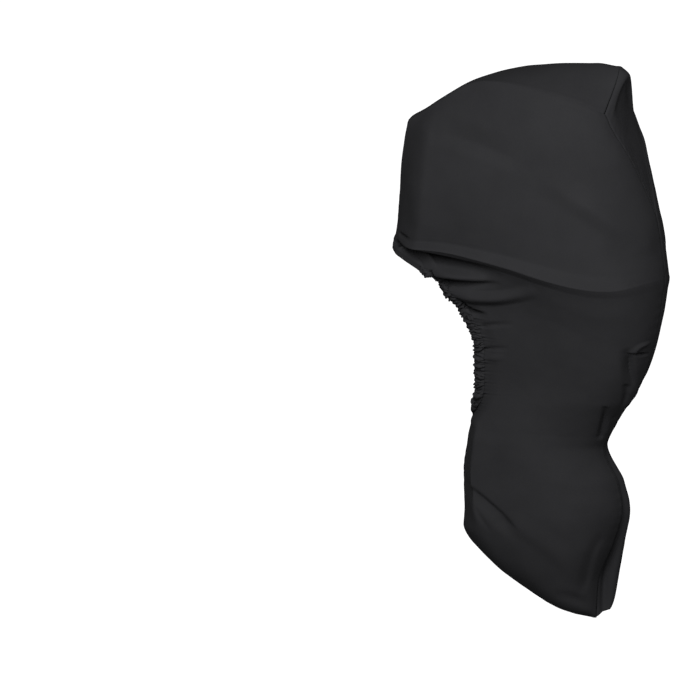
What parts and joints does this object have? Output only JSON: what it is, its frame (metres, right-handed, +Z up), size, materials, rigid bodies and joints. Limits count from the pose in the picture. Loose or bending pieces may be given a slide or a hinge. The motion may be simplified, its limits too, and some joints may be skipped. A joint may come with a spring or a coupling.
{
  "type": "outboard motor cover",
  "caption": "Full-length fitted canvas cover with a peaked hood, a sleeve and a closed boot, open at the front through a gathered elastic edge.",
  "frame": {"origin": "the inside of the crown at the crest of its top, where the cover hangs on what it covers", "axes": "+X aft, away from the gathered opening, +Y starboard, +Z up"},
  "size_m": [0.7332, 0.438, 1.4476],
  "materials": {
    "canvas": "woven polyester canvas, black, satin",
    "elastic_binding": "gathered polyester casing over elastic, black"
  },
  "bodies": {
    "root": {"port_side_panel": "canvas", "starboard_side_panel": "canvas", "crown_panel": "canvas", "back_gusset": "canvas", "opening_binding": "elastic_binding"}
  },
  "joints": []
}
